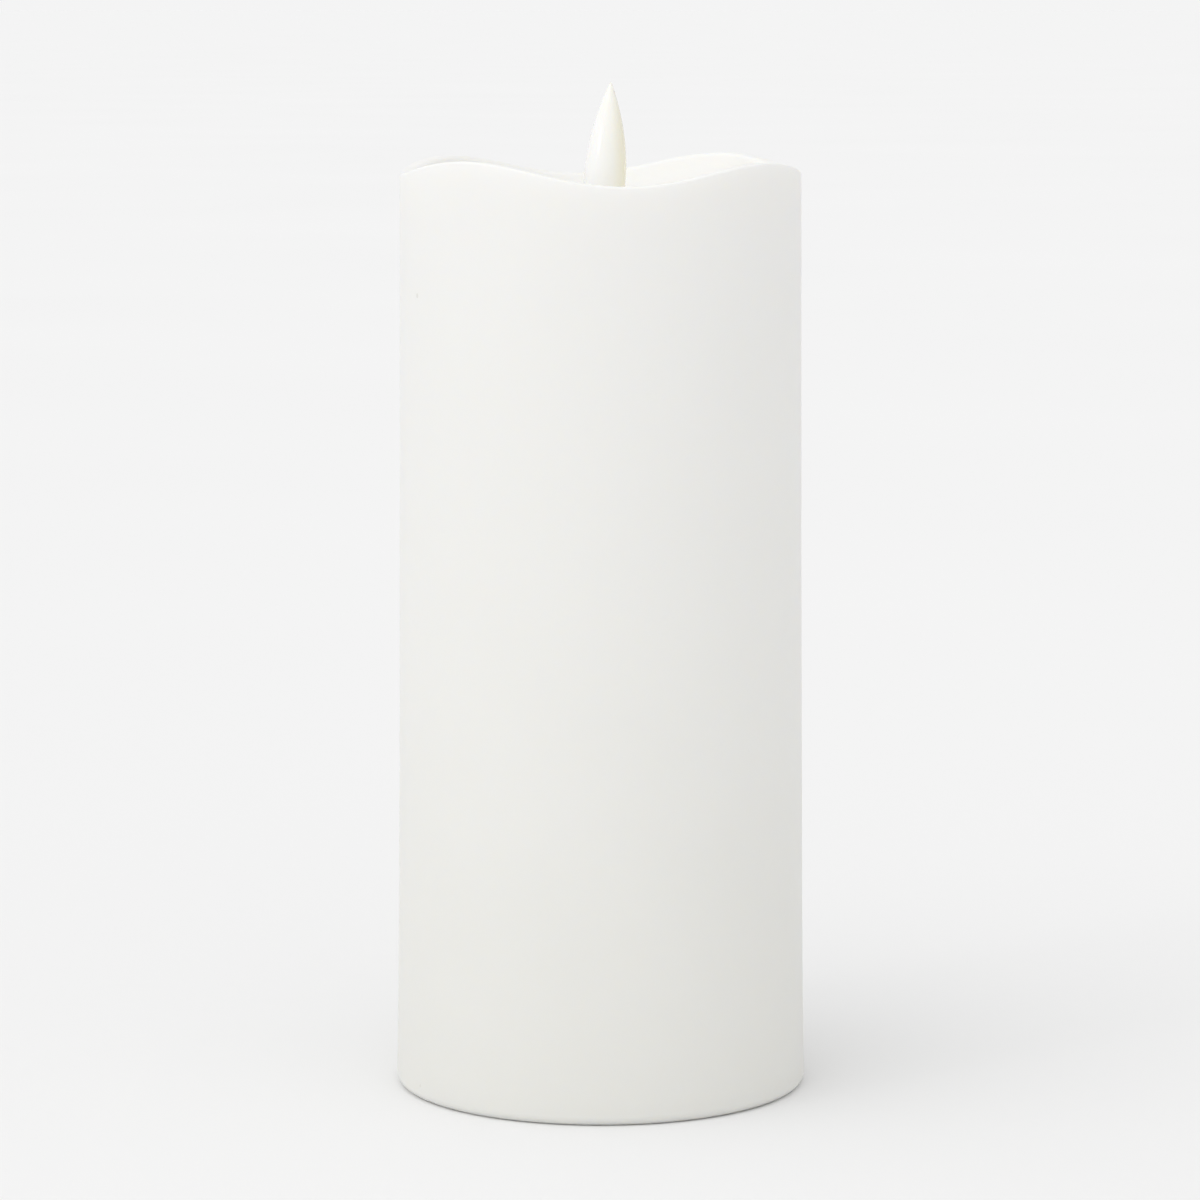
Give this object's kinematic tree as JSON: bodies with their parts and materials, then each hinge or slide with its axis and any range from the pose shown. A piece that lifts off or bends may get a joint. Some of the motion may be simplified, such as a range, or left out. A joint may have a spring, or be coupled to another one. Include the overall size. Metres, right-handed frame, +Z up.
{
  "type": "flameless led candle",
  "caption": "Tall wax pillar candle with a wavy melted rim and a swinging bullet flame, over an inner movement, cells and a bottom battery door.",
  "frame": {"origin": "centre of the wax shell's bottom face, on the table", "axes": "+Z up along the pillar, -Y towards the viewer of the front, +X to the viewer's right, the side the resting flame leans to"},
  "size_m": [0.0783, 0.0784, 0.1906],
  "materials": {
    "wax": "satin, slightly translucent",
    "flame_skin": "glossy, translucent",
    "ivory_plastic": "satin",
    "case_plastic": "fine texture",
    "bobbin_plastic": "matte",
    "black_plastic": "matte",
    "board": "solder mask",
    "copper": "enamelled",
    "steel": "plated",
    "nickel": "bright nickel",
    "can": "sleeved",
    "cell_jacket": "printed film",
    "led_lens": "clear",
    "red_lead": "satin",
    "black_lead": "satin",
    "grey_lead": "satin"
  },
  "bodies": {
    "base": {"wax_shell": "wax", "collar": "ivory_plastic", "pivot_wire": "steel", "led": "led_lens", "capsule_front": "case_plastic", "capsule_rear": "case_plastic", "capsule_screws": "steel", "coil_bobbin": "bobbin_plastic", "coil_winding": "copper", "drive_board": "board", "core_tube": "case_plastic", "battery_tub": "case_plastic", "main_board": "board", "controller_chips": "black_plastic", "capacitor": "can", "resistors": "black_plastic", "switch_body": "steel", "cell_left": "cell_jacket", "cell_right": "cell_jacket", "contact_plates": "nickel", "contact_spring": "nickel", "base_cover": "case_plastic", "cover_screws": "steel", "door_pin": "steel", "lead_red": "red_lead", "lead_black": "black_lead", "riser_leads": "grey_lead", "led_leads": "grey_lead"},
    "flame": {"flame": "flame_skin", "flame_stem": "ivory_plastic", "flame_magnet": "nickel"},
    "knob": {"switch_knob": "black_plastic"},
    "door": {"battery_door": "case_plastic", "door_bridge": "nickel", "door_spring": "nickel"}
  },
  "joints": [
    {"name": "flame_swing", "type": "hinge", "parent": "base", "child": "flame", "pos_m": [0, 0, 0.1592], "axis": [0, 1, 0], "range_deg": [-12, 4]},
    {"name": "switch_slide", "type": "slide", "parent": "base", "child": "knob", "axis": [1, 0, 0], "range_m": [-0.002, 0.002]},
    {"name": "door_hinge", "type": "hinge", "parent": "base", "child": "door", "pos_m": [0, -0.0152, 0.0021], "axis": [-1, 0, 0], "range_deg": [0, 105]}
  ]
}
